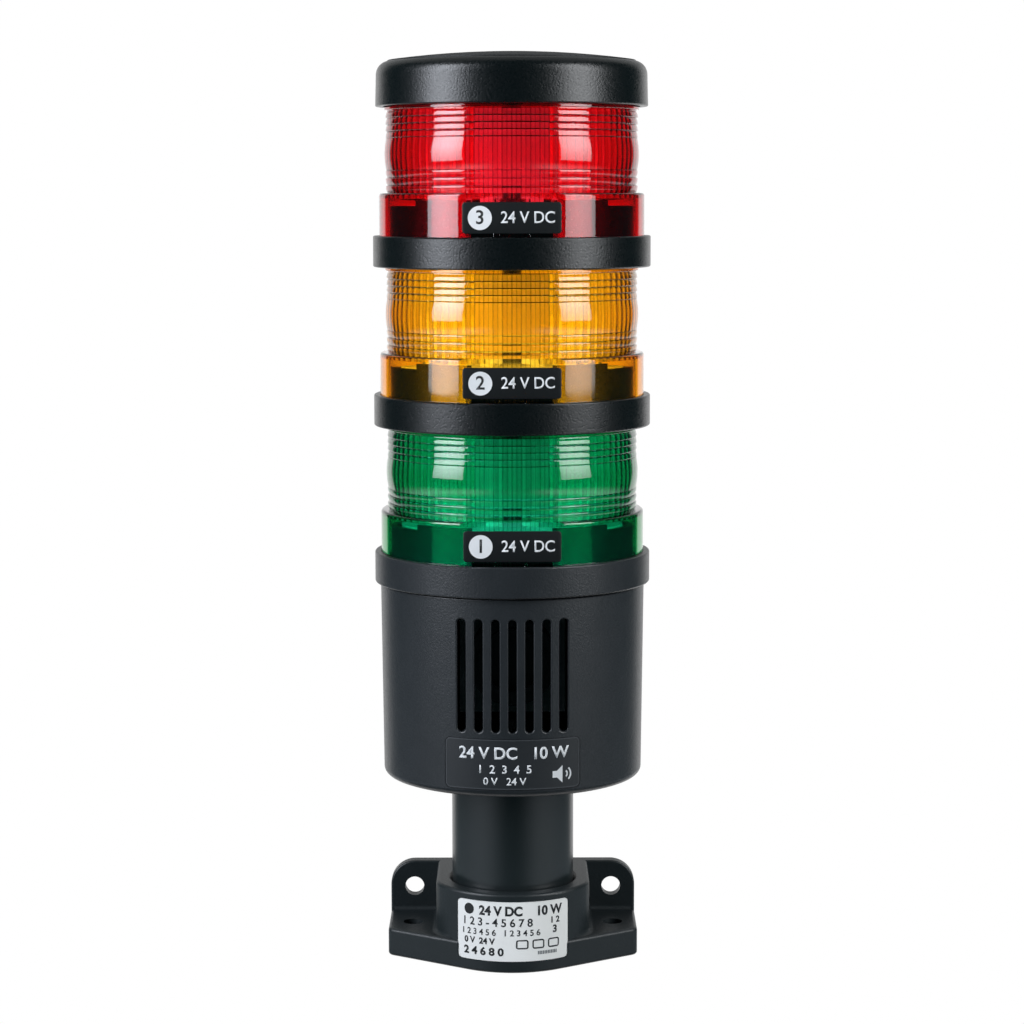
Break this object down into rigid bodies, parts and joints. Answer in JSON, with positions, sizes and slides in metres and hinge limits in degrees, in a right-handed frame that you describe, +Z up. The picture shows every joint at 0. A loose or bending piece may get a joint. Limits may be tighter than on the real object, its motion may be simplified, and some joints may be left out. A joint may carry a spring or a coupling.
{
  "type": "signal beacon tower",
  "caption": "Signal beacon tower: ribbed red, amber and green lens modules with twist-lock rings over a slotted sounder housing, on a tube and an L-shaped mounting foot.",
  "frame": {"origin": "on the tower's axis, in the plane of the foot's underside", "axes": "+Z up along the tower's axis, front towards -Y, rear mounting face towards +Y"},
  "size_m": [0.07, 0.07, 0.2314],
  "materials": {
    "black_grained": "black moulding with a fine spark-eroded grain",
    "black_satin": "black satin moulding",
    "tube_black": "black anodised tube, satin",
    "lens_red": "clear tinted polycarbonate",
    "lens_amber": "clear tinted polycarbonate",
    "lens_green": "clear tinted polycarbonate",
    "label_black": "satin black plate",
    "label_silver": "silver-white film",
    "seal_rubber": "matt rubber",
    "circuit_board": "white solder mask",
    "led_white": "LED package",
    "diffuser_frosted": "frosted clear plastic",
    "contact_brass": "turned brass",
    "terminal_green": "green terminal moulding",
    "steel_screw": "zinc plated"
  },
  "bodies": {
    "base": {"mounting_bracket": "black_satin", "rating_label": "label_silver", "tube_set_screw": "steel_screw", "pole_tube": "tube_black", "tube_end_plug": "black_satin", "tube_screws": "steel_screw", "sounder_housing": "black_grained", "housing_plate": "label_black", "housing_seal": "seal_rubber", "top_plate": "black_satin", "plate_screws": "steel_screw", "base_socket": "black_satin", "control_board": "circuit_board", "sounder_capsule": "black_satin", "sounder_diaphragm": "black_satin", "terminal_block": "terminal_green", "terminal_screws": "steel_screw"},
    "green_module": {"green_coupling_ring": "black_grained", "green_lens": "lens_green", "green_seal_ring": "seal_rubber", "green_led_board": "circuit_board", "green_board_screws": "steel_screw", "green_leds": "led_white", "green_contact_stem": "black_satin", "green_contact_plug": "contact_brass", "green_diffuser": "diffuser_frosted", "green_label_plate": "label_black"},
    "amber_module": {"amber_coupling_ring": "black_grained", "amber_lens": "lens_amber", "amber_seal_ring": "seal_rubber", "amber_led_board": "circuit_board", "amber_board_screws": "steel_screw", "amber_leds": "led_white", "amber_contact_stem": "black_satin", "amber_contact_plug": "contact_brass", "amber_diffuser": "diffuser_frosted", "amber_label_plate": "label_black"},
    "red_module": {"red_coupling_ring": "black_grained", "red_lens": "lens_red", "red_seal_ring": "seal_rubber", "red_led_board": "circuit_board", "red_board_screws": "steel_screw", "red_leds": "led_white", "red_contact_stem": "black_satin", "red_contact_plug": "contact_brass", "red_diffuser": "diffuser_frosted", "red_label_plate": "label_black"},
    "cap": {"top_cap": "black_grained", "cap_seal": "seal_rubber"}
  },
  "joints": [
    {"name": "green_twist", "type": "hinge", "parent": "base", "child": "green_module", "pos_m": [0, 0, 0.09815], "axis": [0, 0, 1], "range_deg": [0, 22]},
    {"name": "amber_twist", "type": "hinge", "parent": "green_module", "child": "amber_module", "pos_m": [0, 0, 0.13805], "axis": [0, 0, 1], "range_deg": [0, 22]},
    {"name": "red_twist", "type": "hinge", "parent": "amber_module", "child": "red_module", "pos_m": [0, 0, 0.17795], "axis": [0, 0, 1], "range_deg": [0, 22]},
    {"name": "cap_twist", "type": "hinge", "parent": "red_module", "child": "cap", "pos_m": [0, 0, 0.21785], "axis": [0, 0, 1], "range_deg": [0, 22]}
  ]
}
